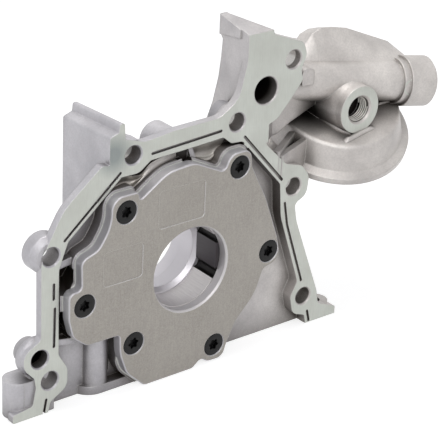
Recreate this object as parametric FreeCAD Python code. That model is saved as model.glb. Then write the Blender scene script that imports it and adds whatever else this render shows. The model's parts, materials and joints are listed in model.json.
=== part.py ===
import FreeCAD, Part
import math
import os

# Crank-driven engine oil pump with a cast-on head for a spin-on oil filter. Millimetres.
# Origin: crank axis on the flange face. X to the filter side, Z up, Y from the block to the
# timing side. The flange face and the cover seat lie at Y = 0.

V = FreeCAD.Vector

# Casting
FLANGE_T = 4.0
POCKET_DEPTH = 6.0
WALL_T = 3.5
WALL_BACK = POCKET_DEPTH + WALL_T
PAN_Z = -52.2
FRONT_Y = 35.0

# Gear set: a drive rotor inside a ring rotor
LOBES = 8
DRIVE_BORE_R = 20.0
FLAT_INSET = 2.0
DRIVE_FLATS = 2 * (DRIVE_BORE_R - FLAT_INSET)
RELIEF_R = 2.2
ROTOR_WALL = 4.0
ECCENTRICITY = 3.0
PIN_R = 11.0
PIN_CIRCLE_R = DRIVE_BORE_R + ROTOR_WALL + ECCENTRICITY + PIN_R
LOBE_PLAY = 0.07
RING_ROOT_R = PIN_CIRCLE_R + 2 * ECCENTRICITY - PIN_R + LOBE_PLAY
RING_WALL = 4.93
RING_R = RING_ROOT_R + RING_WALL
ROTOR_W = 14.4
RUNNING_PLAY = 0.08
SIDE_PLAY = 0.05
ARCS_PER_LOBE = 8
ARC_CROWDING = 0.6

# Crank hub
CRANK_BORE_R = DRIVE_BORE_R - 2.6
SEAL_BORE_R = DRIVE_BORE_R + 0.5
SEAL_DEPTH = 10.0
HUB_R = SEAL_BORE_R + 6.5
HUB_TAPER = 3.0
CASE_WALL = 6.0
PORT_DEPTH = 3.5
PORT_START_X = 8.0
PORT_HALF_H = 22.0
FRONT_RIB_ANGLES = [20, 75, 110, 160, 205, 335]
FRONT_RIB_REACH = 50.0
FRONT_RIB_W = 4.0
FRONT_RIB_Y = 24.0

# Cover plate and its screws
COVER_T = 5.0

# Fine groove round the cover that parts its seat from the flange face
SEAT_GROOVE_GAP = 0.4
SEAT_GROOVE_W = 1.2
SEAT_GROOVE_DEPTH = 0.4
COVER_BORE_R = DRIVE_BORE_R + 0.35
COVER_BORE_CHAMFER = 0.8
COVER_EDGE_R = 0.9
BODY_MARGIN = 1.2
PAD_DEPTH = 0.4
SCREW_HEAD_R = 5.5
SCREW_R = 3.0
SCREW_LENGTH = 17.0
SCREW_SINK = 0.3
SCREW_PLAY = 0.3
SOCKET_R = 2.4
SOCKET_DEPTH = 2.0
SCREWS = [(-36.5, 37.9), (-58.0, -1.7), (-31.1, -28.4), (15.2, -43.3), (45.5, -3.2), (26.0, 44.2)]

# Flange bolt holes
BOLT_HOLE_R = 4.25
BOLT_BOSS_FRONT_R = 6.8
BOLT_BOSS_START = 0.8
BOLT_BOSS_SLOPE_END = 3.6
# Each as (x, z, radius of the boss, depth of the boss's back)
BOLT_HOLES = [(-72.4, 24.0, 9.0, 9.5), (-78.1, -24.3, 9.0, 6.0), (-72.8, -36.5, 9.0, 7.5),
              (-29.9, 61.5, 7.0, 7.5), (27.3, 63.9, 7.0, 7.5), (58.6, 87.6, 9.0, 4.0),
              (63.0, 23.5, 9.0, 7.5), (73.1, -36.8, 9.0, 7.5)]
FEED_HOLE = (43.3, 75.7)
FEED_R = 6.5
FEED_DEPTH = 20.0

# Sealant grooves in the flange face
GROOVE_W = 1.4
GROOVE_DEPTH = 1.5
GROOVES = [[(-65.5, 30.0), (-36.8, 54.6)], [(-71.0, 10.4), (-71.0, 3.4)],
           [(-70.4, -1.5), (-70.8, -20.0)], [(-74.8, -45.6), (-76.0, -51.8)],
           [(-19.7, 59.9), (18.2, 61.8)], [(32.0, 55.8), (55.5, 28.9)],
           [(58.1, 16.2), (60.2, 4.6), (71.2, -27.7)], [(76.3, -45.8), (77.7, -51.2)]]

# Pick-up port on the sump rail
PICKUP_X = -44.9
PICKUP_Y = 7.2
PICKUP_BOSS_R = 6.6
PICKUP_BOSS_H = 32.0
PICKUP_BORE_R = 4.6
PICKUP_BORE_L = 34.0
PICKUP_PAD_T = 4.2
PICKUP_PAD_R = 10.2
PICKUP_PAD_L = 20.0
PAN_RAIL_T = 6.0
PAN_RAIL_LEFT = -72.0
PAN_RAIL_RIGHT = 76.0
PAN_RAIL_FRONT = 6.0
PAN_RAIL_BACK = 22.0
PAN_BOSS_R = 6.3
PAN_BOSS_Y = 7.5
PAN_BOSSES = [(-85.5, -34.4), (87.5, -46.0)]
PAN_HOLE_R = 2.55
PAN_HOLE_DEPTH = 12.0

# Filter head: a seat on its own tilted axis, under a long cylinder that holds the relief valve
HEAD_CENTRE = V(107.0, 27.0, 34.1)
HEAD_AXIS = V(-0.1, -0.4, 1.0)
SEAT_R = 39.0
SEAT_T = 4.7
SEAT_CHAMFER = 1.6
BOWL_FOOT_R = 35.2
BOWL_TOP_R = 31.0
BOWL_H = 17.0
SEAT_INNER_R = 30.0
CHAMBER_DEPTH = 6.5
STUD_BOSS_R = 13.0
STUD_R = 9.5
STUD_ROOT_R = 9.0
STUD_BORE_R = 6.0
STUD_OUT = 16.0
STUD_IN = 9.0

CYL_START = V(50.0, 25.4, 70.6)
CYL_END = V(149.6, 7.5, 55.6)
CYL_R = 9.7
CYL_END_R = 12.3
CYL_END_L = 15.0
CYL_END_CHAMFER = 1.2
CYL_COLLAR_R = 11.0
CYL_COLLAR_END = 18.5

SWITCH_X = 101.4
SWITCH_Z = 53.5
SWITCH_BOSS_R = 11.6
SWITCH_FOOT_R = 14.5
SWITCH_R = 6.3
SWITCH_DEPTH = 8.5
SWITCH_WAY_R = 1.5
SWITCH_WAY_RISE = 4.0
SWITCH_WAY_L = 14.0
SWITCH_CHAMFER = 1.0

# Relief valve in the cylinder
PLUNGER_R = 7.0
PLUNGER_L = 18.0
PLUNGER_WALL = 1.6
PLUNGER_CROWN_T = 4.0
PLUNGER_PLAY = 0.05
VALVE_BORE_L = 58.0
PLUG_R = 8.5
PLUG_L = 9.0
PLUG_INSET = 0.8
HEX_R = 5.8
HEX_DEPTH = 5.0
SPRING_WIRE_R = 0.75
SPRING_R = 4.2
SPRING_TURNS = 7.0
SPRING_SEAT_GAP = 0.3

# Filter bypass valve in the roof of the bowl, off its axis
BYPASS_OFFSET = 20.5
BYPASS_R = 6.5
BYPASS_H = 8.5
BYPASS_RIM = 1.2
BYPASS_LIP_T = 1.2
BYPASS_LIP_W = 2.6
BYPASS_CAP_T = 1.6
BYPASS_DISC_T = 1.2
BYPASS_DISC_PLAY = 0.3
BYPASS_WIRE_R = 0.5
BYPASS_SPRING_R = 3.3
BYPASS_TURNS = 2.5

# Screw-in plugs of the drilled oil ways
GALLERY_R = 5.0
GALLERY_PLUG_L = 8.0
GALLERY_INSET = 0.6
GALLERY_HEX_R = 2.9
OIL_WAY_R = 4.0
FEED_WAY_L = 50.0
SUCTION_WAY_L = 30.0
SUCTION_PLUG = V(-60.0, PICKUP_Y + 6.8, -24.0)


def rounded_wire(points, y):
    """Closed outline in the plane Y = y from corners (x, z, radius), straight between arcs."""
    n = len(points)
    edges = []
    spans = []
    for i in range(n):
        x, z, r = points[i]
        here = V(x, y, z)
        back = V(points[i - 1][0], y, points[i - 1][1]) - here
        ahead = V(points[(i + 1) % n][0], y, points[(i + 1) % n][1]) - here
        half = back.getAngle(ahead) / 2
        reach = min(r / math.tan(half), 0.49 * back.Length, 0.49 * ahead.Length) if r > 0 else 0.0
        back.normalize()
        ahead.normalize()
        if reach < 1e-6 or half > math.radians(89.5):
            spans.append((here, None, here))
            continue
        centre_way = back + ahead
        centre_way.normalize()
        radius = reach * math.tan(half)
        centre = here + centre_way * (reach / math.cos(half))
        spans.append((here + back * reach, centre - centre_way * radius, here + ahead * reach))
    for i in range(n):
        start, mid, end = spans[i]
        following = spans[(i + 1) % n][0]
        if mid is not None:
            edges.append(Part.Arc(start, mid, end).toShape())
        if end.distanceToPoint(following) > 1e-6:
            edges.append(Part.LineSegment(end, following).toShape())
    return Part.Wire(edges)


def rounded_face(points, y=0.0):
    return Part.Face(rounded_wire(points, y))


def prism(points, y0, y1):
    """Rounded outline in the XZ plane, from depth y0 to depth y1."""
    return rounded_face(points, y0).extrude(V(0, y1 - y0, 0))


def leaning_prism(points, y0, y1, lean):
    """Rounded outline that moves by lean towards +X for each millimetre of depth."""
    return rounded_face(points, y0).extrude(V(lean * (y1 - y0), y1 - y0, 0))


def rod(x, z, r, y0, y1):
    return Part.makeCylinder(r, y1 - y0, V(x, y0, z), V(0, 1, 0))


def cone(x, z, r0, r1, y0, y1):
    return Part.makeCone(r0, r1, y1 - y0, V(x, y0, z), V(0, 1, 0))


def bar(p, q, width, y0, y1):
    """Straight slot or rib with round ends between two (x, z) points."""
    way = V(q[0] - p[0], 0, q[1] - p[1])
    side = V(-way.z, 0, way.x)
    side.normalize()
    side = side * (width / 2)
    a = V(p[0], y0, p[1])
    b = V(q[0], y0, q[1])
    face = Part.Face(Part.makePolygon([a + side, b + side, b - side, a - side, a + side]))
    body = face.extrude(V(0, y1 - y0, 0))
    ends = [rod(p[0], p[1], width / 2, y0, y1), rod(q[0], q[1], width / 2, y0, y1)]
    return body.fuse(ends)


def upright_plate(p, q, drop_p, drop_q, thickness):
    """Flat plate under the line from p to q, standing on edge and thickened to both sides."""
    corners = [p, q, q - V(0, 0, drop_q), p - V(0, 0, drop_p)]
    face = Part.Face(Part.makePolygon(corners + [p]))
    normal = face.normalAt(0, 0)
    face.translate(normal * (-thickness / 2))
    return face.extrude(normal * thickness)


def along(axis_from, axis_to, shape):
    """Place a shape that was drawn on +Z from the origin on the line between two points."""
    placed = shape.copy()
    turn = FreeCAD.Rotation(V(0, 0, 1), axis_to - axis_from)
    placed.Placement = FreeCAD.Placement(axis_from, turn).multiply(shape.Placement)
    return placed


def on_head(shape):
    """Place a shape drawn round +Z, with the filter seat at Z = 0, on the filter head."""
    return along(HEAD_CENTRE, HEAD_CENTRE + HEAD_AXIS, shape)


def in_cylinder(shape):
    """Place a shape drawn on +Z from the closed end of the long cylinder's outer end face."""
    return along(CYL_END, CYL_START, shape)


def from_inner_end(shape):
    """Place a shape drawn on +Z from the cylinder's inner end face."""
    return along(CYL_START, CYL_END, shape)


def ring(r_out, r_in, z0, z1):
    outer = Part.makeCylinder(r_out, z1 - z0, V(0, 0, z0))
    return outer.cut(Part.makeCylinder(r_in, z1 - z0, V(0, 0, z0)))


def hexagon(radius):
    """Corners (a, b) of a hexagon round zero, with the first one repeated at the end."""
    angles = [math.radians(60 * i) for i in range(7)]
    return [(radius * math.cos(a), radius * math.sin(a)) for a in angles]


def coil(radius, wire_r, turns, z0, z1):
    """Compression spring round Z whose wire, drawn six-sided, stays between z0 and z1."""
    height = z1 - z0 - 2 * wire_r
    helix = Part.makeHelix(height / turns, height, radius)
    section = Part.makePolygon([V(radius + a, 0, b) for a, b in hexagon(wire_r)])
    spring = Part.Wire(helix).makePipeShell([section], True, True)
    spring.translate(V(0, 0, z0 + wire_r))
    return spring


# Outlines, as corners (x, z, corner radius)
COVER_OUTLINE = [(-44.4, 46.0, 7.0), (-29.6, 46.0, 5.0), (-29.8, 41.4, 2.5), (-14.5, 51.4, 18.0),
                 (0.3, 52.4, 12.0), (17.3, 44.0, 2.5), (20.6, 51.6, 6.5), (32.6, 51.6, 6.5),
                 (33.4, 42.4, 4.0), (42.6, 24.5, 40.0), (50.6, 3.0, 7.0), (52.9, -9.0, 6.5),
                 (43.0, -11.6, 3.0), (38.6, -23.5, 25.0), (27.5, -35.0, 12.0), (23.0, -44.5, 6.0),
                 (20.6, -51.6, 7.0), (11.5, -51.2, 5.0), (8.0, -48.3, 3.0), (3.0, PAN_Z, 3.0),
                 (-24.6, PAN_Z, 4.0), (-34.5, -43.0, 12.0), (-38.4, -32.0, 20.0),
                 (-38.9, -22.0, 2.0), (-56.5, -22.0, 5.0), (-64.0, -16.0, 7.0),
                 (-66.3, -7.0, 8.0), (-66.3, 6.2, 7.0), (-59.6, 6.2, 2.5), (-60.0, 20.4, 4.0),
                 (-51.0, 23.4, 8.0), (-44.4, 33.5, 20.0)]

FLANGE_OUTLINE = [(-92.2, PAN_Z, 0.5), (-92.2, -48.2, 0.8), (-81.9, -46.6, 1.5), (-80.2, -38.0, 4.0),
                  (-81.0, -33.0, 2.0), (-86.5, -27.0, 7.0), (-86.5, -20.0, 7.0), (-77.5, -15.0, 3.0),
                  (-77.5, 24.0, 20.0), (-66.0, 44.6, 25.0), (-46.4, 60.4, 3.0), (-42.6, 59.5, 0.5),
                  (-42.6, 67.0, 1.0), (-34.0, 69.8, 2.0), (-24.0, 66.4, 8.0), (-8.0, 68.0, 20.0),
                  (17.0, 68.3, 8.0), (27.6, 74.5, 12.0), (31.8, 92.0, 14.0), (31.8, 104.4, 2.0),
                  (45.6, 103.9, 1.0), (46.9, 101.8, 1.0), (55.4, 98.4, 6.0), (63.9, 95.0, 4.5),
                  (66.4, 88.6, 6.0), (63.4, 81.8, 3.0), (64.8, 76.6, 3.0), (57.0, 67.2, 10.0),
                  (50.9, 60.8, 6.0), (42.0, 57.0, 3.0),
                  (45.4, 48.6, 5.0), (57.4, 36.4, 5.0), (67.6, 33.2, 6.0), (72.2, 27.0, 6.0),
                  (71.0, 17.6, 5.0), (64.2, 14.4, 3.0), (66.0, 5.0, 20.0), (81.6, -36.0, 8.0),
                  (83.0, -43.6, 3.0), (94.3, -48.2, 1.0), (94.3, PAN_Z, 0.5)]

# Inner edge of the flange face; the pocket inside it opens downwards past the sump plane
POCKET_OUTLINE = [(-74.9, PAN_Z - 5, 0.5), (-72.6, -47.4, 2.0), (-63.6, -42.0, 6.0),
                  (-63.6, -33.0, 6.0), (-68.4, -25.0, 4.0), (-68.4, 17.0, 8.0), (-62.0, 33.6, 5.0),
                  (-45.6, 45.8, 3.0), (-38.4, 52.6, 4.0), (-26.8, 52.4, 6.0), (-20.6, 56.9, 3.0),
                  (6.3, 57.8, 10.0), (19.6, 58.4, 2.0), (24.4, 54.4, 4.0), (30.8, 54.0, 3.0),
                  (54.6, 27.0, 3.0), (56.0, 10.0, 15.0), (68.9, -27.6, 3.0), (65.0, -35.0, 4.0),
                  (67.0, -44.6, 5.0), (74.6, -47.4, 2.0), (76.4, PAN_Z - 5, 0.5)]

LEFT_WALL = [(-42.6, 20.0, 0.5), (-42.6, 72.2, 1.2), (-37.9, 73.8, 0.5), (-37.5, 77.6, 1.0),
             (-35.0, 77.6, 0.8), (-34.4, 69.0, 1.0), (-34.4, 20.0, 0.5)]
LEFT_WALL_DEPTH = 35.6
LEFT_WALL_DROP = 2.0

# Side wall of the ear, seen along X as (y, z), and how it tapers seen from above as (x, y)
EAR_WALL = [(0.0, 50.0), (0.0, 104.2), (20.3, 108.6), (20.3, 99.0), (18.5, 97.0), (19.2, 88.5),
            (20.6, 78.2), (24.2, 64.7), (28.5, 54.0), (28.5, 50.0)]
EAR_LEDGE = [(5.5, 101.0), (5.5, 105.3), (20.3, 108.5), (20.3, 99.0)]
EAR_LEDGE_T = 0.7
EAR_PLAN = [(31.8, 0.0), (46.0, 0.0), (34.2, 20.5), (34.2, 30.0), (31.8, 30.0)]
EAR_BLOCK = [(35.4, 56.0, 3.0), (44.0, 60.0, 3.0), (63.0, 74.0, 5.0), (62.0, 80.0, 5.0),
             (54.0, 82.5, 4.0), (35.4, 84.0, 3.0)]
EAR_BLOCK_Y = 24.0
EAR_LUG = [(71.0, 69.0, 1.5), (71.0, 78.0, 2.5), (78.3, 76.6, 2.5), (78.3, 68.5, 1.5)]
EAR_LUG_Y = 7.5

# Boss behind the middle of the flange's top edge
TOP_BOSS = (-4.4, 57.2)
TOP_BOSS_R = 7.9

# What carries the long cylinder: a web from the ear, seen from the front and from above
WEB = [(40.0, 47.0, 1.0), (51.0, 46.4, 3.0), (61.0, 45.8, 4.0), (70.6, 49.5, 8.0),
       (91.0, 54.6, 1.0), (91.0, 62.0, 1.0), (40.0, 68.0, 1.0)]
WEB_PLAN = [(40.0, 1.0), (46.0, 3.0), (58.0, 12.0), (92.0, 17.0), (92.0, 26.0), (40.0, 26.0)]
SADDLE = [(93.0, 38.0, 2.0), (93.0, 64.0, 2.0), (132.0, 58.0, 2.0), (132.0, 44.0, 2.0)]
SADDLE_Y = (12.0, 22.0)
ROOF = [(74.0, 48.0, 2.0), (74.0, 68.0, 2.0), (140.0, 62.0, 2.0), (132.0, 42.0, 2.0)]
ROOF_Y = 24.0

# Ridge of the hood behind the long cylinder, as (x, z)
HOOD_RIDGE = [(79.0, 74.0), (85.4, 81.4), (90.3, 86.4), (95.0, 87.9), (101.5, 87.4),
              (111.0, 85.1), (139.0, 72.8), (143.0, 69.6), (147.0, 64.2)]
HOOD_RIDGE_Y = 24.0
HOOD_BACK_Y = 33.0
HOOD_FOOT_Z = 54.0

# Thin plates from the flange's edge to the bowl, as root, tip and their heights
GUSSETS = [(V(52.0, 1.0, 43.5), V(74.0, 16.0, 43.0), 10.0, 12.0),
           (V(54.0, 1.0, 41.0), V(80.0, 12.0, 40.5), 10.0, 14.0)]
GUSSET_T = 3.0

# Low ribs that tie the gear case to the flange inside the pocket
POCKET_RIBS = [((-28.2, 41.9), (-19.0, 47.5), 2.4), ((-19.0, 47.5), (-2.8, 52.1), 2.4),
               ((2.7, 56.0), (6.4, 46.0), 2.4), ((-67.5, 17.5), (-60.0, 18.5), 3.4),
               ((-67.5, 0.2), (-60.5, 0.2), 6.6), ((-67.5, -20.0), (-56.0, -22.0), 3.0)]

# Narrow cavities that go deeper than the pocket, and the block behind the left ones
CAVITIES = [[(-68.1, 3.6, 0.5), (-68.1, 15.0, 1.0), (-60.8, 15.4, 1.0), (-60.8, 8.5, 2.0),
             (-64.0, 3.6, 1.0)],
            [(-68.1, -18.6, 0.8), (-68.1, -4.0, 0.5), (-65.6, -4.0, 0.5), (-62.4, -9.0, 2.0),
             (-61.4, -18.6, 0.8)]]
CAVITY_DEPTH = 16.0
CAVITY_LEAN = 0.5
CAVITY_BLOCK = [(-68.4, -21.6, 1.0), (-68.4, 18.6, 1.0), (-55.0, 18.6, 1.0), (-55.0, -21.6, 1.0)]
SIDE_SLOT = [(-41.6, -45.5, 1.0), (-41.6, -24.6, 1.0), (-37.2, -24.6, 1.0), (-37.2, -45.5, 1.0)]
SIDE_SLOT_DEPTH = 14.0
NOOK = [(-3.2, 49.6, 0.5), (-3.2, 54.4, 0.5), (2.0, 54.6, 0.5), (2.4, 50.6, 0.5)]
NOOK_DEPTH = 8.5

PAD_1 = [(-19.0, 43.2, 2.0), (6.6, 43.2, 2.0), (6.6, 24.8, 2.0), (-19.0, 24.8, 2.0)]
PAD_2 = [(-48.4, 21.2, 2.0), (-27.2, 21.2, 2.0), (-27.2, 4.4, 2.0), (-48.4, 4.4, 2.0)]


def cover_face(y, margin=0.0):
    face = rounded_face(COVER_OUTLINE, y)
    if margin:
        face = face.makeOffset2D(margin)
    return face


def ring_centre():
    return 0.0, ECCENTRICITY


def chamber_floor():
    """Depth of the rotors' chamber, with play on both sides of them."""
    return 2 * SIDE_PLAY + ROTOR_W


def screw_cone_depth():
    """Depth of the 90 degree countersink from the head's edge to the shank."""
    return SCREW_HEAD_R - SCREW_R


def make_cover():
    cover = cover_face(-COVER_T).extrude(V(0, COVER_T, 0))
    rim = [e for e in cover.Edges if e.BoundBox.YMax < -COVER_T + 1e-6]
    cover = cover.makeFillet(COVER_EDGE_R, rim)
    tools = [rod(0, 0, COVER_BORE_R, -COVER_T, 0.0),
             cone(0, 0, COVER_BORE_R + COVER_BORE_CHAMFER, COVER_BORE_R, -COVER_T,
                  -COVER_T + COVER_BORE_CHAMFER)]
    tools += [prism(pad, -COVER_T, -COVER_T + PAD_DEPTH) for pad in (PAD_1, PAD_2)]
    top = -COVER_T + SCREW_SINK
    for x, z in SCREWS:
        head_r = SCREW_HEAD_R + SCREW_PLAY
        shank_r = SCREW_R + SCREW_PLAY
        tools.append(rod(x, z, head_r, -COVER_T, top))
        tools.append(cone(x, z, head_r, shank_r, top, top + screw_cone_depth()))
        tools.append(rod(x, z, shank_r, top, 0.0))
    return cover.cut(tools)


def make_screw(x, z):
    """Countersunk screw: head cone, shank and a hexagonal socket."""
    top = -COVER_T + SCREW_SINK
    screw = cone(x, z, SCREW_HEAD_R, SCREW_R, top, top + screw_cone_depth())
    screw = screw.fuse(rod(x, z, SCREW_R, top + screw_cone_depth(), top + SCREW_LENGTH))
    corners = [V(x + a, top, z + b) for a, b in hexagon(SOCKET_R)]
    socket = Part.Face(Part.makePolygon(corners)).extrude(V(0, SOCKET_DEPTH, 0))
    return screw.cut(socket)


def lobe_point(angle):
    """Point of the drive rotor's edge: parallel curve inside an epitrochoid."""
    turns = LOBES + 1
    x = PIN_CIRCLE_R * math.cos(angle) + ECCENTRICITY * math.cos(turns * angle)
    z = PIN_CIRCLE_R * math.sin(angle) + ECCENTRICITY * math.sin(turns * angle)
    dx = -PIN_CIRCLE_R * math.sin(angle) - ECCENTRICITY * turns * math.sin(turns * angle)
    dz = PIN_CIRCLE_R * math.cos(angle) + ECCENTRICITY * turns * math.cos(turns * angle)
    size = math.hypot(dx, dz)
    inset = PIN_R + LOBE_PLAY
    return V(x - inset * dz / size, SIDE_PLAY, z + inset * dx / size)


def lobe_angle(count):
    """Angle after so many lobes from the top one, with the steps crowded into the valleys."""
    crowded = count + ARC_CROWDING * math.sin(2 * math.pi * count) / (2 * math.pi)
    return math.pi / 2 + 2 * math.pi * crowded / LOBES


def make_drive_rotor():
    """Inner rotor: trochoid lobes, and a crank bore with two flats relieved at their corners."""
    arcs = LOBES * ARCS_PER_LOBE
    edges = []
    for i in range(arcs):
        places = [lobe_point(lobe_angle((i + share) / ARCS_PER_LOBE)) for share in (0, 0.5, 1)]
        edges.append(Part.Arc(*places).toShape())
    rotor = Part.Face(Part.Wire(edges)).extrude(V(0, ROTOR_W, 0))
    y0 = SIDE_PLAY
    y1 = SIDE_PLAY + ROTOR_W
    bore = rod(0, 0, DRIVE_BORE_R, y0, y1)
    half = DRIVE_FLATS / 2
    slab = Part.makeBox(DRIVE_FLATS, ROTOR_W, 2 * DRIVE_BORE_R, V(-half, y0, -DRIVE_BORE_R))
    bore = bore.common(slab)
    corner_z = math.sqrt(DRIVE_BORE_R ** 2 - half ** 2)
    for sx in (-1, 1):
        for sz in (-1, 1):
            bore = bore.fuse(rod(sx * (half - RELIEF_R / 3), sz * corner_z, RELIEF_R, y0, y1))
    return rotor.cut(bore)


def make_ring_rotor():
    """Outer rotor: round outside, and one round lobe more than the drive rotor inside."""
    cx, cz = ring_centre()
    count = LOBES + 1
    cos_a = (PIN_CIRCLE_R ** 2 + RING_ROOT_R ** 2 - PIN_R ** 2) / (2 * PIN_CIRCLE_R * RING_ROOT_R)
    open_angle = math.acos(cos_a)
    step = 2 * math.pi / count
    edges = []

    def at(radius, angle):
        return V(cx + radius * math.cos(angle), SIDE_PLAY, cz + radius * math.sin(angle))

    for i in range(count):
        lobe = math.pi / 2 + i * step
        start = at(RING_ROOT_R, lobe - open_angle)
        end = at(RING_ROOT_R, lobe + open_angle)
        crest = at(PIN_CIRCLE_R - PIN_R, lobe)
        edges.append(Part.Arc(start, crest, end).toShape())
        root = at(RING_ROOT_R, lobe + step / 2)
        edges.append(Part.Arc(end, root, at(RING_ROOT_R, lobe + step - open_angle)).toShape())
    hollow = Part.Face(Part.Wire(edges)).extrude(V(0, ROTOR_W, 0))
    return rod(cx, cz, RING_R, SIDE_PLAY, SIDE_PLAY + ROTOR_W).cut(hollow)


def port(side, y0, y1):
    """Kidney-shaped port beside the rotors; side -1 is the suction side."""
    inner_r = PIN_CIRCLE_R - PIN_R - ECCENTRICITY + 2
    outer_r = PIN_CIRCLE_R - PIN_R + 2 * ECCENTRICITY - 1
    sector = rod(0, ECCENTRICITY / 2, outer_r, y0, y1).cut(rod(0, ECCENTRICITY / 2, inner_r, y0, y1))
    start = PORT_START_X if side > 0 else -PORT_START_X - RING_R
    half = Part.makeBox(RING_R, y1 - y0, 2 * PORT_HALF_H, V(start, y0, -PORT_HALF_H))
    return sector.common(half)


def gear_case():
    """Raised body under the cover, with the crank hub on its timing side."""
    case = cover_face(0.0, BODY_MARGIN).extrude(V(0, WALL_BACK, 0))
    cx, cz = ring_centre()
    case = case.fuse(rod(cx, cz, RING_R + CASE_WALL, 0.5, chamber_floor() + CASE_WALL))
    hub = cone(0, 0, HUB_R + HUB_TAPER, HUB_R, WALL_BACK, FRONT_Y)
    return case.fuse(hub)


def front_ribs():
    """Ribs that spread from the crank hub over the timing side."""
    ribs = []
    for angle in FRONT_RIB_ANGLES:
        a = math.radians(angle)
        foot = (math.cos(a) * FRONT_RIB_REACH, math.sin(a) * FRONT_RIB_REACH)
        top = (math.cos(a) * SEAL_BORE_R * 1.2, math.sin(a) * SEAL_BORE_R * 1.2)
        ribs.append(bar(top, foot, FRONT_RIB_W, POCKET_DEPTH + 1, FRONT_RIB_Y))
    return ribs


def ear():
    """Tall ear on the right with the oil feed and its side wall to the timing side."""
    outline = [V(EAR_PLAN[0][0], y, z) for y, z in EAR_WALL]
    side = Part.Face(Part.makePolygon(outline + [outline[0]])).extrude(V(FLANGE_T * 4, 0, 0))
    plan = [V(x, y, 40) for x, y in EAR_PLAN]
    column = Part.Face(Part.makePolygon(plan + [plan[0]])).extrude(V(0, 0, 80))
    rim = [V(EAR_PLAN[0][0] - EAR_LEDGE_T, y, z) for y, z in EAR_LEDGE]
    ledge = Part.Face(Part.makePolygon(rim + [rim[0]])).extrude(V(FLANGE_T, 0, 0))
    block = prism(EAR_BLOCK, 0.5, EAR_BLOCK_Y)
    lug = prism(EAR_LUG, EAR_LUG_Y, EAR_BLOCK_Y)
    top_boss = rod(TOP_BOSS[0], TOP_BOSS[1], TOP_BOSS_R, FLANGE_T - 1, FEED_DEPTH)
    return [side.common(column), ledge, block, lug, top_boss]


def pan_rail():
    """Ledge on the sump plane with its bolt bosses, and the pick-up port standing on it."""
    rail = Part.makeBox(PAN_RAIL_RIGHT - PAN_RAIL_LEFT, PAN_RAIL_BACK - PAN_RAIL_FRONT,
                        PAN_RAIL_T, V(PAN_RAIL_LEFT, PAN_RAIL_FRONT, PAN_Z))
    parts = [rail]
    for x, top in PAN_BOSSES:
        parts.append(Part.makeCylinder(PAN_BOSS_R, top - PAN_Z, V(x, PAN_BOSS_Y, PAN_Z)))
        inner = PAN_RAIL_LEFT + 2 if x < 0 else PAN_RAIL_RIGHT - 1
        web = [(x, PAN_Z, 0.5), (x, top, 1.0), (inner, top, 1.0), (inner, PAN_Z, 0.5)]
        parts.append(prism(web if x < 0 else web[::-1], 1.0, PAN_BOSS_Y + PAN_BOSS_R))
    front = PICKUP_Y - PICKUP_BOSS_R
    pad = Part.makeBox(PICKUP_PAD_L, 2 * PICKUP_PAD_R, PICKUP_PAD_T, V(PICKUP_X, front, PAN_Z))
    round_end = Part.makeCylinder(PICKUP_PAD_R, PICKUP_PAD_T,
                                  V(PICKUP_X, front + PICKUP_PAD_R, PAN_Z))
    boss = Part.makeCylinder(PICKUP_BOSS_R, PICKUP_BOSS_H, V(PICKUP_X, PICKUP_Y, PAN_Z))
    cross = Part.makeCylinder(GALLERY_R + 3, SUCTION_WAY_L - 4, SUCTION_PLUG, V(1, 0, 0))
    return parts + [pad, round_end, boss, cross]


def filter_bowl():
    """Filter seat ring and the bowl above it, on the head's own axis."""
    seat = Part.makeCylinder(SEAT_R, SEAT_T - SEAT_CHAMFER)
    slope = Part.makeCone(SEAT_R, BOWL_FOOT_R, SEAT_CHAMFER, V(0, 0, SEAT_T - SEAT_CHAMFER))
    wall = Part.makeCone(BOWL_FOOT_R, BOWL_TOP_R, BOWL_H - SEAT_T, V(0, 0, SEAT_T))
    wall = wall.makeFillet(2.0, [e for e in wall.Edges if e.BoundBox.ZMin > BOWL_H - 0.01])
    return on_head(seat.fuse([slope, wall]))


def filter_arm():
    """Long cylinder from behind the ear to the relief valve's outer end, and what carries it."""
    length = CYL_START.distanceToPoint(CYL_END)
    tube = in_cylinder(Part.makeCylinder(CYL_R, length))
    end = Part.makeCylinder(CYL_END_R, CYL_END_L)
    end = end.makeChamfer(CYL_END_CHAMFER, [e for e in end.Edges if e.BoundBox.ZMax < 0.01])
    collar = Part.makeCylinder(CYL_COLLAR_R, CYL_COLLAR_END)
    saddle = prism(SADDLE, SADDLE_Y[0], SADDLE_Y[1])
    plan = [V(x, y, SADDLE[0][1]) for x, y in WEB_PLAN]
    column = Part.Face(Part.makePolygon(plan + [plan[0]])).extrude(V(0, 0, 40))
    web = prism(WEB, 0.5, WEB_PLAN[-1][1]).common(column)
    roof = prism(ROOF, ROOF_Y, HOOD_BACK_Y)
    boss = rod(SWITCH_X, SWITCH_Z, SWITCH_BOSS_R, 0.0, SADDLE_Y[0])
    foot = cone(SWITCH_X, SWITCH_Z, SWITCH_BOSS_R, SWITCH_FOOT_R, FLANGE_T, SADDLE_Y[1])
    return [tube, saddle, web, roof, boss, foot, hood(), in_cylinder(end), in_cylinder(collar)]


def hood():
    """Roof over the valve cylinder: rises from its top line to a ridge and falls away behind."""
    sections = []
    for x, ridge_z in HOOD_RIDGE:
        share = (x - CYL_START.x) / (CYL_END.x - CYL_START.x)
        axis = CYL_START + (CYL_END - CYL_START) * share
        corners = [V(x, axis.y, HOOD_FOOT_Z), V(x, axis.y, axis.z + CYL_R - 0.5),
                   V(x, HOOD_RIDGE_Y, ridge_z), V(x, HOOD_BACK_Y, ridge_z - 3.0),
                   V(x, HOOD_BACK_Y, HOOD_FOOT_Z)]
        sections.append(Part.makePolygon(corners + [corners[0]]))
    return Part.makeLoft(sections, True, True)


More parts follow.
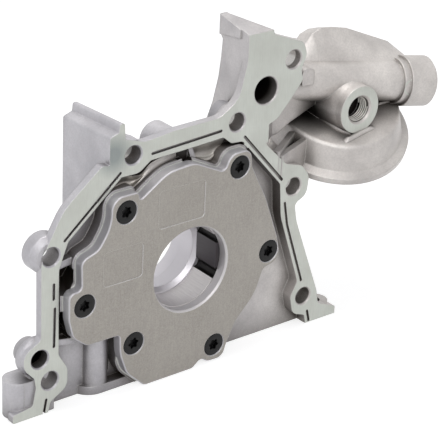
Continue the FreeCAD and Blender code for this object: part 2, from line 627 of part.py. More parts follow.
def housing_holes():
    """Everything that is bored, pocketed or drilled in the casting."""
    cx, cz = ring_centre()
    floor = chamber_floor()
    tools = [rod(cx, cz, RING_R + RUNNING_PLAY, 0.0, floor)]
    tools.append(rod(0, 0, CRANK_BORE_R, floor, FRONT_Y))
    tools.append(cone(0, 0, CRANK_BORE_R + 2, CRANK_BORE_R, floor, floor + 2))
    tools.append(rod(0, 0, SEAL_BORE_R, FRONT_Y - SEAL_DEPTH, FRONT_Y))
    tools += [port(side, floor, floor + PORT_DEPTH) for side in (-1, 1)]
    for x, z, _, _ in BOLT_HOLES:
        tools.append(rod(x, z, BOLT_HOLE_R, -1.0, FRONT_Y))
        tools.append(cone(x, z, BOLT_HOLE_R + 0.7, BOLT_HOLE_R, 0.0, 0.7))
    tools.append(rod(FEED_HOLE[0], FEED_HOLE[1], FEED_R, 0.0, FEED_DEPTH))
    tools.append(cone(FEED_HOLE[0], FEED_HOLE[1], FEED_R + 0.6, FEED_R, 0.0, 0.6))
    for x, z in SCREWS:
        tools.append(rod(x, z, SCREW_R, 0.0, SCREW_LENGTH - COVER_T + 1.0))
    seat_groove = cover_face(0.0, SEAT_GROOVE_GAP + SEAT_GROOVE_W).cut(cover_face(0.0, SEAT_GROOVE_GAP))
    tools.append(seat_groove.extrude(V(0, SEAT_GROOVE_DEPTH, 0)))
    for path in GROOVES:
        for p, q in zip(path[:-1], path[1:]):
            tools.append(bar(p, q, GROOVE_W, -0.5, GROOVE_DEPTH))
    tools.append(Part.makeCylinder(PICKUP_BORE_R, PICKUP_BORE_L, V(PICKUP_X, PICKUP_Y, PAN_Z)))
    tools.append(Part.makeCylinder(OIL_WAY_R, SUCTION_WAY_L, SUCTION_PLUG, V(1, 0, 0)))
    tools.append(Part.makeCylinder(GALLERY_R, GALLERY_INSET + GALLERY_PLUG_L, SUCTION_PLUG, V(1, 0, 0)))
    for x, _ in PAN_BOSSES:
        tools.append(Part.makeCylinder(PAN_HOLE_R, PAN_HOLE_DEPTH, V(x, PAN_BOSS_Y, PAN_Z)))
    tools.append(rod(SWITCH_X, SWITCH_Z, SWITCH_R, 0.0, SWITCH_DEPTH))
    tools.append(rod(SWITCH_X, SWITCH_Z + SWITCH_WAY_RISE, SWITCH_WAY_R, 0.0, SWITCH_WAY_L))
    tools.append(cone(SWITCH_X, SWITCH_Z, SWITCH_R + SWITCH_CHAMFER, SWITCH_R, 0.0, SWITCH_CHAMFER))
    return tools


def head_holes():
    """Filter chamber, stud bore and valve bores of the filter head."""
    chamber = ring(SEAT_INNER_R, STUD_BOSS_R, 0.0, CHAMBER_DEPTH)
    tools = [on_head(chamber), on_head(Part.makeCylinder(STUD_ROOT_R, STUD_IN + 2.0))]
    tools.append(in_cylinder(Part.makeCylinder(PLUNGER_R + PLUNGER_PLAY, VALVE_BORE_L)))
    tools.append(in_cylinder(Part.makeCylinder(PLUG_R, PLUG_L + PLUG_INSET)))
    tools.append(from_inner_end(Part.makeCylinder(OIL_WAY_R, FEED_WAY_L)))
    tools.append(from_inner_end(Part.makeCylinder(GALLERY_R, GALLERY_INSET + GALLERY_PLUG_L)))
    bypass = Part.makeCylinder(BYPASS_R, BYPASS_H, V(0, BYPASS_OFFSET, CHAMBER_DEPTH))
    tools.append(on_head(bypass))
    return tools


def make_housing():
    plate = prism(FLANGE_OUTLINE, 0.0, FLANGE_T)
    wall = rounded_face(POCKET_OUTLINE).makeOffset2D(WALL_T).extrude(V(0, WALL_BACK, 0))
    left_wall = rounded_face(LEFT_WALL).extrude(V(0, LEFT_WALL_DEPTH, -LEFT_WALL_DROP))
    block = leaning_prism(CAVITY_BLOCK, POCKET_DEPTH, CAVITY_DEPTH + WALL_T, CAVITY_LEAN)
    bosses = []
    for x, z, radius, back in BOLT_HOLES:
        bosses.append(cone(x, z, BOLT_BOSS_FRONT_R, radius, BOLT_BOSS_START,
                           BOLT_BOSS_SLOPE_END))
        bosses.append(rod(x, z, radius, BOLT_BOSS_SLOPE_END, back))
    body = plate.fuse([wall, left_wall, block] + bosses)
    body = body.cut(prism(POCKET_OUTLINE, -1.0, POCKET_DEPTH))
    ribs = [bar(p, q, width, 2.0, POCKET_DEPTH + 1) for p, q, width in POCKET_RIBS]
    screw_bosses = [rod(x, z, SCREW_HEAD_R + 1, 1.0, SCREW_LENGTH) for x, z in SCREWS]
    body = body.fuse([gear_case()] + ribs + screw_bosses)
    cavities = [leaning_prism(outline, 0.0, CAVITY_DEPTH, CAVITY_LEAN) for outline in CAVITIES]
    cavities += [prism(SIDE_SLOT, 0.0, SIDE_SLOT_DEPTH), prism(NOOK, 0.0, NOOK_DEPTH)]
    body = body.cut(cavities)
    parts = front_ribs() + ear() + pan_rail() + filter_arm() + [filter_bowl()]
    parts += [upright_plate(*gusset, GUSSET_T) for gusset in GUSSETS]
    body = body.fuse(parts)
    room = body.BoundBox
    trim = Part.makeBox(room.XLength, room.YLength, PAN_Z - room.ZMin + FLANGE_T,
                        V(room.XMin, room.YMin, room.ZMin - FLANGE_T))
    holes = housing_holes() + head_holes()
    return body.cut(holes + [trim]).removeSplitter()


def hex_plug(radius, length, inset, hex_r, hex_depth):
    """Screw plug on +Z with a hexagonal socket in its outer face."""
    plug = Part.makeCylinder(radius, length, V(0, 0, inset))
    corners = [V(a, b, inset) for a, b in hexagon(hex_r)]
    return plug.cut(Part.Face(Part.makePolygon(corners)).extrude(V(0, 0, hex_depth)))


def make_gallery_plug():
    return hex_plug(GALLERY_R, GALLERY_PLUG_L, GALLERY_INSET, GALLERY_HEX_R, GALLERY_PLUG_L / 2)


def make_feed_plug():
    return from_inner_end(make_gallery_plug())


def make_suction_plug():
    return along(SUCTION_PLUG, SUCTION_PLUG + V(1, 0, 0), make_gallery_plug())


def make_relief_plug():
    return in_cylinder(hex_plug(PLUG_R, PLUG_L, PLUG_INSET, HEX_R, HEX_DEPTH))


def plunger_start():
    return VALVE_BORE_L - PLUNGER_L - SPRING_SEAT_GAP


def make_relief_plunger():
    """Cup that closes the inner end of the bore; its open end holds the spring."""
    start = V(0, 0, plunger_start())
    cup = Part.makeCylinder(PLUNGER_R, PLUNGER_L, start)
    hollow = Part.makeCylinder(PLUNGER_R - PLUNGER_WALL, PLUNGER_L - PLUNGER_CROWN_T, start)
    return in_cylinder(cup.cut(hollow))


def make_relief_spring():
    z0 = PLUG_INSET + PLUG_L + SPRING_SEAT_GAP
    z1 = plunger_start() + PLUNGER_L - PLUNGER_CROWN_T - SPRING_SEAT_GAP
    return in_cylinder(coil(SPRING_R, SPRING_WIRE_R, SPRING_TURNS, z0, z1))


def make_filter_stud():
    """Hollow stud: its root sits in the head, and the filter screws on to its free part."""
    root = ring(STUD_ROOT_R, STUD_BORE_R, 0.0, STUD_IN)
    return on_head(root.fuse(ring(STUD_R, STUD_BORE_R, -STUD_OUT, 0.0)))


def bypass_place(shape):
    shape.translate(V(0, BYPASS_OFFSET, CHAMBER_DEPTH))
    return on_head(shape)


def bypass_cap_start():
    return BYPASS_H - BYPASS_CAP_T


def bypass_disc_start():
    return BYPASS_LIP_T + SIDE_PLAY


def make_bypass_seat():
    """Pressed-in sleeve whose lower lip is the valve seat."""
    sleeve = ring(BYPASS_R, BYPASS_R - BYPASS_RIM, 0.0, bypass_cap_start())
    lip = ring(BYPASS_R, BYPASS_R - BYPASS_LIP_W, 0.0, BYPASS_LIP_T)
    return bypass_place(sleeve.fuse(lip))


def make_bypass_disc():
    radius = BYPASS_R - BYPASS_RIM - BYPASS_DISC_PLAY
    return bypass_place(Part.makeCylinder(radius, BYPASS_DISC_T, V(0, 0, bypass_disc_start())))


def make_bypass_spring():
    z0 = bypass_disc_start() + BYPASS_DISC_T + SPRING_SEAT_GAP / 2
    z1 = bypass_cap_start() - SPRING_SEAT_GAP / 2
    return bypass_place(coil(BYPASS_SPRING_R, BYPASS_WIRE_R, BYPASS_TURNS, z0, z1))


def make_bypass_cap():
    """Disc over the sleeve that carries the upper end of the spring."""
    return bypass_place(Part.makeCylinder(BYPASS_R, BYPASS_CAP_T, V(0, 0, bypass_cap_start())))


NODES = {"pump_housing": make_housing, "rear_cover": make_cover, "drive_rotor": make_drive_rotor,
         "ring_rotor": make_ring_rotor, "suction_way_plug": make_suction_plug,
         "feed_way_plug": make_feed_plug, "relief_plug": make_relief_plug,
         "relief_plunger": make_relief_plunger, "relief_spring": make_relief_spring,
         "filter_stud": make_filter_stud, "bypass_seat": make_bypass_seat,
         "bypass_disc": make_bypass_disc, "bypass_spring": make_bypass_spring,
         "bypass_cap": make_bypass_cap}


def main():
    os.makedirs("parts", exist_ok=True)
    for name, make in NODES.items():
        make().exportStep("parts/" + name + ".step")
    for i, (x, z) in enumerate(SCREWS):
        make_screw(x, z).exportStep("parts/cover_screw_%d.step" % (i + 1))


main()
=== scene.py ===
import json
import math

import bmesh
import bpy
from mathutils import Matrix, Vector


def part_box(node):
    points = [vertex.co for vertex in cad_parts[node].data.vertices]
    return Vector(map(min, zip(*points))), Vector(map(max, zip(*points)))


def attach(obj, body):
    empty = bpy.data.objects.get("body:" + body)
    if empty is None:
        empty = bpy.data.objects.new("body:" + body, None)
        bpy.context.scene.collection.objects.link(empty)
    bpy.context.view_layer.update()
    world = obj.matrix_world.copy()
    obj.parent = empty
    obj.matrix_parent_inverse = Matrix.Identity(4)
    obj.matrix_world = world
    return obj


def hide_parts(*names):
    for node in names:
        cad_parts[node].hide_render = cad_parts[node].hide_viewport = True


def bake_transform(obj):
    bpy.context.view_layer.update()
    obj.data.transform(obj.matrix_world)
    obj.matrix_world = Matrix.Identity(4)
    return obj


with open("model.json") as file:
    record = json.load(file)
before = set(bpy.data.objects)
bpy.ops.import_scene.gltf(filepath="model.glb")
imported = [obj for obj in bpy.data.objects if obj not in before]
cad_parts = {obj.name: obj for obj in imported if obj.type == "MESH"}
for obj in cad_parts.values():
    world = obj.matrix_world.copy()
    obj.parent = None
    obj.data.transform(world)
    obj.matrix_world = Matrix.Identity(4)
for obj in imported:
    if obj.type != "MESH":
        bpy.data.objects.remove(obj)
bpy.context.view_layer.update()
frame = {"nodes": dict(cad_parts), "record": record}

MM = 0.001

# Where the CAD solids stand, in millimetres: X to the filter head, Y away from the block, Z up
SCREW_CENTRES = [(-36.5, 37.9), (-58.0, -1.7), (-31.1, -28.4), (15.2, -43.3), (45.5, -3.2),
                 (26.0, 44.2)]
SCREW_FACE_Y = -4.7
FEED_HOLE = (43.3, 75.7)
SWITCH_CENTRE = Vector((101.4, 0.0, 53.5))
HEAD_CENTRE = Vector((107.0, 27.0, 34.1))
HEAD_AXIS = Vector((-0.1, -0.4, 1.0)).normalized()
CYLINDER_END = Vector((149.6, 7.5, 55.6))
CYLINDER_START = Vector((50.0, 25.4, 70.6))
SUMP_Z = -52.2

# Bolt bosses whose far ends are drawn on: x, z and the depth where the solid's boss ends
SLEEVES = [(-29.9, 61.5, 7.4), (63.0, 23.5, 7.4), (73.1, -36.8, 9.4), (27.3, 63.9, 7.4),
           (58.6, 87.6, 3.9), (-78.1, -24.3, 5.9)]
SLEEVE_LENGTH = 6.0
SLEEVE_BORE_R = 4.25
SLEEVE_FOOT_R = 6.8
SLEEVE_END_R = 6.2

# Screw head, socket and tip as (radius, depth, depth of the six lobes), and the degrees that
# each screw is turned past the one before it
SCREW_OUTLINE = [(2.35, 2.2, 0.38), (2.42, 0.15, 0.40), (2.62, 0.0, 0.40), (3.6, 0.0, 0.0),
                 (5.25, 0.0, 0.0), (5.48, 0.12, 0.0), (5.48, 0.30, 0.0), (3.0, 2.72, 0.0),
                 (3.0, 16.0, 0.0), (2.3, 16.95, 0.0)]
SCREW_TURN = 17

# One ridge of a thread as (0 at the root or 1 at the crest, share of the pitch)
THREAD_RIDGE = [(0, 0.0), (0, 0.85), (1, 0.55), (1, 0.30)]
THREAD_PITCH = 1.5
THREAD_STEPS = 48
SWITCH_ROOT_R = 6.32
SWITCH_CREST_R = 5.75
STUD_ROOT_R = 9.45
STUD_CREST_R = 9.95

# Valve springs: where they stand along their axes, and their coils
RELIEF_FOOT = 10.1
RELIEF_LENGTH = 43.3
BYPASS_FOOT = 4.9
BYPASS_LENGTH = 4.15
COIL_STEPS = 28
COIL_SIDES = 10

# Strip of the flange beside the upper left sealant groove: the groove's ends, and how far the
# strip's two sides stand from the line between them
LIP_START = Vector((-65.5, 0.0, 30.0))
LIP_END = Vector((-37.6, 0.0, 53.9))
LIP_NEAR = 0.7
LIP_FAR = 2.0
LIP_FRONT_Y = 0.05
LIP_BACK_Y = 4.0

# Rails of the rounded castings in the pocket
POCKET_BACK_Y = 7.0
CHANNEL_EDGE = [(-40.8, 0.6, 49.5), (-36.1, 0.6, 52.4), (-30.8, 0.6, 51.8), (-25.4, 0.6, 51.2),
                (-21.2, 0.6, 54.7), (-16.9, 0.6, 56.3), (-12.0, 0.6, 56.8), (-6.5, 0.6, 56.9)]
CHANNEL_SCOOP = [(-39.4, 2.5, 47.7), (-33.2, 4.5, 48.1), (-28.3, 4.5, 47.3), (-24.6, 3.0, 48.2),
                 (-21.0, 1.4, 52.4), (-16.4, 1.2, 54.5), (-11.5, 1.2, 55.2), (-5.8, 1.4, 55.5)]
CHANNEL_CREST = [(-39.9, 2.5, 46.7), (-35.6, 2.5, 45.4), (-30.8, 2.5, 43.9), (-26.4, 2.0, 46.1),
                 (-21.2, 1.8, 49.2), (-16.4, 1.8, 51.4), (-11.5, 1.8, 52.9), (-5.2, 2.2, 53.8)]
CHANNEL_SLOPE = [(-38.0, 4.4, 43.6), (-33.7, 4.4, 42.2), (-28.8, 4.4, 40.8), (-24.1, 4.2, 42.8),
                 (-18.9, 4.0, 46.2), (-14.1, 4.0, 48.3), (-9.2, 4.0, 49.8), (-3.6, 4.2, 51.0)]
CHANNEL_FLOOR = [(-36.5, 5.7, 41.0), (-32.7, 5.7, 39.8), (-27.2, 5.7, 38.4), (-21.9, 5.7, 40.4),
                 (-16.5, 5.7, 43.5), (-11.6, 5.7, 45.6), (-6.7, 5.7, 47.1), (-1.8, 5.7, 48.6)]
CHANNEL_FOOT = [(-35.8, 5.8, 38.1), (-31.5, 5.8, 36.5), (-26.0, 5.8, 35.6), (-20.1, 5.8, 37.5),
                (-14.7, 5.8, 40.5), (-9.8, 5.8, 42.7), (-4.9, 5.8, 44.4), (0.1, 5.8, 46.1)]
RECESS_TOP = [(1.8, 0.6, 57.6), (6.8, 0.6, 57.8), (13.5, 0.6, 58.2), (20.9, 0.6, 58.2)]
RECESS_DEEP = [(4.8, 4.4, 53.8), (11.1, 5.2, 53.0), (17.5, 5.4, 52.9), (22.4, 4.4, 53.5)]
RECESS_MIDDLE = [(5.7, 5.4, 51.3), (11.6, 5.6, 49.5), (16.7, 5.6, 49.1), (20.7, 5.0, 50.8)]
RECESS_LOW = [(5.2, 4.6, 49.7), (10.7, 4.4, 48.0), (15.1, 4.2, 47.0), (19.2, 4.4, 47.9)]
RECESS_FOOT = [(6.0, 5.6, 47.2), (11.8, 5.6, 45.3), (18.1, 5.6, 43.3), (23.3, 5.6, 43.0)]

# Middle lines of the beads on the bowl
FRONT_BEAD = [(92.0, -0.8, 39.9), (97.1, -0.6, 40.4), (103.9, 0.1, 41.4), (112.0, 0.7, 42.4)]
HOLLOW_BEAD = [(90.6, 17.1, 46.9), (91.8, 12.5, 45.2), (93.7, 7.2, 43.3), (96.1, 3.5, 42.0),
               (98.8, 0.6, 41.1)]
RIM_BEAD = [(123.0, 11.4, 47.8), (128.4, 10.8, 48.2), (133.5, 10.0, 48.3)]
BEAD_STEPS = 24
BEAD_ARC = 10
BEAD_SINK = 0.4

# Places that the housing's finish marks: milled and turned faces, and places where shade is
# painted on; a fade runs from its outer to its inner distance
FACE_MARGIN = 0.12
HUB_TURNED_R = 21.2
PAINTED_SHADE_HOLLOW = (87.0, 19.0, 50.0)
PAINTED_SHADE_HOLLOW_FADE = (15.0, 3.0)
PAINTED_SHADE_PATCH_X = -40.5
PAINTED_SHADE_PATCH_Z = 64.0
PAINTED_SHADE_PATCH_FADE = (11.5, 3.0)
PAINTED_SHADE_NOOK_X = (-5.6, 1.4)
PAINTED_SHADE_NOOK_Y = (0.6, 20.0)
PAINTED_SHADE_NOOK_Z = (49.0, 57.5)

# Deep holes with painted shade inside, as (centre, reach, start and end of the depth where they
# turn dark)
PAINTED_SHADE_HOLES = [(FEED_HOLE, 6.6, 3.5, 20.0),
              ((SWITCH_CENTRE.x, SWITCH_CENTRE.z), 6.4, 1.0, 8.5)]
PAINTED_SHADE_HOLE_FADE = 3.0

# Distances from the switch port's axis where its thread is painted bright and where it is painted
# dark, as painted light and shade
THREAD_BRIGHT_R = 5.78
THREAD_DARK_R = 6.12

# Regions of the cover's hole and of the drive rotor's bore, from the crank's axis, where light and
# shade are painted
COVER_BORE_R = 23.0
ROTOR_BORE_R = 21.8
FLAT_X = 16.9
FLAT_HALF_HEIGHT = 6.4
RELIEF_X = 15.0
RELIEF_TOP = 11.2


class Finish:
    """A Principled material whose pattern reads Object coordinates, in metres."""

    def __init__(self, name, colour, metallic, roughness):
        self.material = bpy.data.materials.new(name)
        self.material.use_nodes = True
        self.tree = self.material.node_tree
        self.shader = self.tree.nodes["Principled BSDF"]
        self.shader.inputs["Base Color"].default_value = colour
        self.shader.inputs["Metallic"].default_value = metallic
        self.shader.inputs["Roughness"].default_value = roughness
        self.place = self.node("ShaderNodeTexCoord").outputs["Object"]

    def node(self, kind, **settings):
        made = self.tree.nodes.new(kind)
        for key, value in settings.items():
            setattr(made, key, value)
        return made

    def link(self, source, target):
        self.tree.links.new(source, target)

    def feed(self, node, **values):
        """Give inputs of a node a number, a colour or another node's output.

        An input goes by its name, or by its number after an underscore."""
        for key, value in values.items():
            number = key[1:]
            socket = node.inputs[int(number) if number.isdigit() else key.replace("_", " ")]
            if isinstance(value, bpy.types.NodeSocket):
                self.link(value, socket)
            else:
                socket.default_value = value
        return node

    def mapped(self, scale, turn=(0, 0, 0)):
        mapping = self.node("ShaderNodeMapping")
        return self.feed(mapping, Vector=self.place, Rotation=turn, Scale=scale).outputs["Vector"]

    def noise(self, scale, detail=3.0, roughness=0.55, vector=None):
        made = self.node("ShaderNodeTexNoise")
        self.feed(made, Vector=vector or self.place, Scale=scale, Detail=detail,
                  Roughness=roughness)
        return made.outputs["Fac"]

    def span(self, value, low, high, to_low=0.0, to_high=1.0):
        """Map a value's range low to high onto to_low to to_high, clamped."""
        made = self.node("ShaderNodeMapRange")
        return self.feed(made, Value=value, From_Min=low, From_Max=high, To_Min=to_low,
                         To_Max=to_high).outputs["Result"]

    def fade(self, away, bounds, share):
        """0 from the outer distance on, rising to a share at the inner one, in millimetres."""
        outer, inner = bounds
        return self.span(away, outer * MM, inner * MM, 0.0, share)

    def math(self, operation, a, b=0.0):
        made = self.node("ShaderNodeMath", operation=operation)
        return self.feed(made, _0=a, _1=b).outputs[0]

    def more(self, value, limit):
        return self.math("GREATER_THAN", value, limit)

    def less(self, value, limit):
        return self.math("LESS_THAN", value, limit)

    def all_of(self, *masks):
        """1 where every mask is 1."""
        product = masks[0]
        for mask in masks[1:]:
            product = self.math("MULTIPLY", product, mask)
        return product

    def between(self, value, bounds):
        """1 where a coordinate lies between two bounds in millimetres."""
        low, high = bounds
        return self.all_of(self.more(value, low * MM), self.less(value, high * MM))

    def distance(self, *pairs):
        """Distance from a centre; each pair is a coordinate and the centre's, in millimetres."""
        total = 0.0
        for value, centre in pairs:
            shifted = self.math("SUBTRACT", value, centre * MM)
            total = self.math("ADD", self.math("MULTIPLY", shifted, shifted), total)
        return self.math("SQRT", total)

    def mix(self, share, a, b):
        made = self.node("ShaderNodeMix", data_type="RGBA")
        self.feed(made, _0=share, _6=a, _7=b)
        return made.outputs[2]

    def mix_vector(self, share, a, b):
        made = self.node("ShaderNodeMix", data_type="VECTOR")
        self.feed(made, _0=share, _4=a, _5=b)
        return made.outputs[1]

    def mix_value(self, share, a, b):
        made = self.node("ShaderNodeMix", data_type="FLOAT")
        self.feed(made, _0=share, _2=a, _3=b)
        return made.outputs[0]

    def parts(self, vector):
        """The three numbers of a vector."""
        made = self.node("ShaderNodeSeparateXYZ")
        self.link(vector, made.inputs[0])
        return made.outputs

    def facing(self):
        """The three numbers of the normal."""
        return self.parts(self.node("ShaderNodeNewGeometry").outputs["Normal"])

    def bump(self, height, distance, strength, under=None):
        """Small relief, on top of a rounded normal if one is given."""
        made = self.node("ShaderNodeBump")
        self.feed(made, Height=height, Distance=distance, Strength=strength)
        if under is not None:
            self.link(under, made.inputs["Normal"])
        return made.outputs["Normal"]

    def soft_edges(self, radius):
        made = self.node("ShaderNodeBevel", samples=6)
        made.inputs["Radius"].default_value = radius
        return made.outputs["Normal"]

    def hollow_mask(self, reach, low, high):
        """1 deep in corners and pockets, 0 where the surface stands free; the finishes paint shade
        with it.
        """
        made = self.node("ShaderNodeAmbientOcclusion", samples=8)
        made.inputs["Distance"].default_value = reach
        return self.span(made.outputs["AO"], low, high, 1.0, 0.0)

    def edge_mask(self, rounded):
        """1 where the rounded normal leaves the true one, along the edges."""
        dot = self.node("ShaderNodeVectorMath", operation="DOT_PRODUCT")
        true = self.node("ShaderNodeNewGeometry").outputs["Normal"]
        self.feed(dot, _0=rounded, _1=true)
        return self.span(dot.outputs["Value"], 0.985, 0.80)

    def set(self, **values):
        """Link node outputs to the shader and return the finished material."""
        for key, value in values.items():
            self.link(value, self.shader.inputs[key.replace("_", " ")])
        return self.material


def rgb(r, g, b):
    """Colour given as it shows on a screen, 0 to 255, with full opacity."""
    def linear(v):
        v = v / 255.0
        return v / 12.92 if v <= 0.04045 else ((v + 0.055) / 1.055) ** 2.4
    return (linear(r), linear(g), linear(b), 1.0)


def milled_mask(f, y, z):
    """1 on the flange face, on other faces cut in its plane and on the sump face."""
    _, ny, nz = f.facing()
    in_plane = f.less(f.math("ABSOLUTE", y), FACE_MARGIN * MM)
    towards_block = f.less(ny, -0.9)
    on_sump = f.all_of(f.less(z, (SUMP_Z + 0.1) * MM), f.less(nz, -0.9))
    return f.math("MAXIMUM", f.all_of(in_plane, towards_block), on_sump)


def cast_aluminium():
    """Die-cast skin, with milled faces on the flange and turned bores; shade is painted in its
    hollows and holes, and a highlight along its edges.
    """
    f = Finish("cast aluminium", rgb(196, 192, 189), 0.55, 0.42)
    x, y, z = f.parts(f.place)
    blotch = f.noise(55.0, 4.0, 0.6)
    grain = f.noise(1100.0, 3.0, 0.7)
    cool = f.mix(f.span(blotch, 0.3, 0.7), rgb(178, 176, 181), rgb(204, 202, 206))
    warm = f.mix(f.span(blotch, 0.3, 0.7), rgb(192, 187, 184), rgb(224, 219, 215))
    colour = f.mix(f.span(x, -0.01, 0.08), cool, warm)
    colour = f.mix(f.span(grain, 0.35, 0.75, 0.0, 0.3), colour, rgb(150, 147, 146))

    milled = milled_mask(f, y, z)
    turned = f.all_of(f.less(f.distance((x, 0.0), (z, 0.0)), HUB_TURNED_R * MM), f.more(y, 0.0))
    cut = f.math("MAXIMUM", milled, turned)
    strokes = f.noise(2400.0, 3.0, 0.6, f.mapped((1.0, 1.0, 0.05), (0, 0.5, 0)))
    mill = f.mix(f.span(strokes, 0.25, 0.75), rgb(196, 199, 192), rgb(210, 213, 206))
    mill = f.mix(f.span(blotch, 0.35, 0.7, 0.0, 0.6), mill, rgb(184, 185, 178))
    # Painted shade on the flange face at the root of the left wall
    away = f.distance((z, PAINTED_SHADE_PATCH_Z), (x, PAINTED_SHADE_PATCH_X))
    mill = f.mix(f.fade(away, PAINTED_SHADE_PATCH_FADE, 0.75), mill, rgb(124, 132, 134))

    soft = f.soft_edges(0.0011)
    crisp = f.soft_edges(0.0004)
    edges = f.edge_mask(crisp)
    # Painted shade in corners and pockets
    colour = f.mix(f.hollow_mask(0.022, 0.12, 0.8), colour, rgb(74, 67, 61))
    # Painted shade, nearly black, in the hollow under the relief cylinder beside the switch boss
    away = f.distance(*zip((x, y, z), PAINTED_SHADE_HOLLOW))
    colour = f.mix(f.fade(away, PAINTED_SHADE_HOLLOW_FADE, 0.97), colour, rgb(20, 17, 15))
    # Painted shade in the small nook beside the upright rib in the pocket
    painted_shade_nook = f.all_of(f.between(x, PAINTED_SHADE_NOOK_X), f.between(y, PAINTED_SHADE_NOOK_Y), f.between(z, PAINTED_SHADE_NOOK_Z))
    colour = f.mix(painted_shade_nook, colour, rgb(34, 29, 26))
    colour = f.mix(milled, colour, mill)
    colour = f.mix(turned, colour, rgb(214, 211, 216))
    # Painted shade deep in the feed hole and the switch port
    for (centre_x, centre_z), reach, start, end in PAINTED_SHADE_HOLES:
        across = f.distance((x, centre_x), (z, centre_z))
        darker = f.span(y, start * MM, (start + PAINTED_SHADE_HOLE_FADE) * MM)
        deep = f.all_of(darker, f.less(y, (end + 0.1) * MM))
        colour = f.mix(f.all_of(f.less(across, reach * MM), deep), colour, rgb(26, 22, 19))
    # Painted highlight along the rounded edges
    colour = f.mix(f.math("MULTIPLY", edges, 0.4), colour, rgb(232, 230, 226))

    rough = f.mix_value(cut, f.span(blotch, 0.3, 0.7, 0.38, 0.48), 0.36)
    height = f.mix_value(cut, f.noise(1500.0, 4.0, 0.65), f.math("MULTIPLY", strokes, 0.15))
    rounded = f.mix_vector(cut, soft, crisp)
    return f.set(Base_Color=colour, Roughness=rough, Normal=f.bump(height, 0.00008, 0.8, rounded))


def smooth_casting():
    """Casting of the rounded runs in the pocket, painted paler than the housing as painted light,
    with painted shade in its hollows.
    """
    f = Finish("smooth casting", rgb(214, 209, 202), 0.7, 0.33)
    blotch = f.noise(90.0, 3.0, 0.6)
    # Paler tones than the housing's skin: painted light on the rounded runs
    colour = f.mix(f.span(blotch, 0.3, 0.7), rgb(204, 200, 195), rgb(236, 233, 227))
    # Painted shade in the hollows between the runs
    colour = f.mix(f.hollow_mask(0.009, 0.2, 0.8), colour, rgb(96, 88, 80))
    return f.set(Base_Color=colour, Roughness=f.span(blotch, 0.3, 0.7, 0.32, 0.42),
                 Normal=f.bump(f.noise(1500.0, 3.0, 0.6), 0.00004, 0.6))


def drilled_bore():
    """Far ends of the bolt bosses: casting outside, bright drilled wall inside."""
    f = Finish("drilled bore", rgb(214, 211, 208), 0.5, 0.4)
    x, y, z = f.parts(f.place)
    rings = f.math("SINE", f.math("MULTIPLY", y, 9000.0))
    wall = f.mix(f.span(rings, -1.0, 1.0), rgb(196, 193, 190), rgb(242, 240, 237))
    casting = f.mix(f.span(f.noise(55.0, 3.0, 0.6), 0.3, 0.7),
                    rgb(158, 156, 160), rgb(184, 182, 184))
    inside = 0.0
    for centre_x, centre_z, _ in SLEEVES:
        near = f.less(f.distance((x, centre_x), (z, centre_z)), (SLEEVE_BORE_R + 0.35) * MM)
        inside = f.math("MAXIMUM", near, inside)
    return f.set(Base_Color=f.mix(inside, casting, wall),
                 Roughness=f.mix_value(inside, 0.6, 0.34))


def ground_plate():
    """Cover plate: fine blasted grain over a ground face, side faces painted lighter as painted
    light, and a painted highlight along the rounded edge.
    """
    f = Finish("ground cover plate", rgb(168, 163, 157), 0.5, 0.45)
    x, _, z = f.parts(f.place)
    blotch = f.noise(40.0, 3.0)
    grain = f.noise(1900.0, 3.0, 0.7)
    lines = f.noise(1500.0, 2.0, 0.6, f.mapped((1.0, 1.0, 0.12), (0, -0.25, 0)))
    face = f.mix(f.span(grain, 0.3, 0.72), rgb(150, 145, 139), rgb(182, 177, 170))
    face = f.mix(f.span(lines, 0.35, 0.7, 0.0, 0.3), face, rgb(140, 136, 131))
    face = f.mix(f.span(blotch, 0.35, 0.7, 0.0, 0.18), face, rgb(192, 188, 182))
    rounded = f.soft_edges(0.00035)
    edges = f.edge_mask(rounded)
    # Side faces and the hole's wall painted lighter than the front face: painted light
    front = f.less(f.facing()[1], -0.9)
    bore = f.less(f.distance((x, 0.0), (z, 0.0)), COVER_BORE_R * MM)
    side = f.mix(bore, rgb(194, 192, 196), rgb(204, 201, 202))
    colour = f.mix(front, side, face)
    # Painted highlight along the rounded edge
    colour = f.mix(f.math("MULTIPLY", edges, 0.9), colour, rgb(242, 240, 237))
    return f.set(Base_Color=colour, Roughness=f.span(grain, 0.3, 0.7, 0.38, 0.52),
                 Normal=f.bump(grain, 0.00005, 0.7, rounded))


def black_oxide():
    """Semi-gloss black of the cover screws, a little worn along the edges."""
    f = Finish("black oxide steel", rgb(18, 18, 19), 0.1, 0.4)
    f.shader.inputs["Specular IOR Level"].default_value = 0.3
    wear = f.noise(700.0, 3.0)
    rounded = f.soft_edges(0.0002)
    edges = f.edge_mask(rounded)
    colour = f.mix(f.span(wear, 0.45, 0.75, 0.0, 0.5), rgb(8, 8, 9), rgb(24, 23, 23))
    colour = f.mix(f.math("MULTIPLY", edges, 0.25), colour, rgb(84, 82, 80))
    return f.set(Base_Color=colour, Roughness=f.span(wear, 0.3, 0.7, 0.28, 0.44),
                 Normal=f.bump(wear, 0.00003, 0.6, rounded))


def steel(name, tone, roughness, stroke_scale, squeeze):
    """Bright steel with fine machining strokes; squeeze under 1 draws them out along an axis."""
    f = Finish(name, rgb(tone, tone, tone), 0.85, roughness)
    strokes = f.noise(stroke_scale, 3.0, 0.6, f.mapped(squeeze))
    darker = tone - 26
    colour = f.mix(f.span(strokes, 0.3, 0.7), rgb(darker, darker, darker), rgb(tone, tone, tone))
    return f.set(Base_Color=colour,
                 Roughness=f.span(strokes, 0.3, 0.7, roughness - 0.06, roughness + 0.08),
                 Normal=f.bump(strokes, 0.00003, 0.6, f.soft_edges(0.0002)))


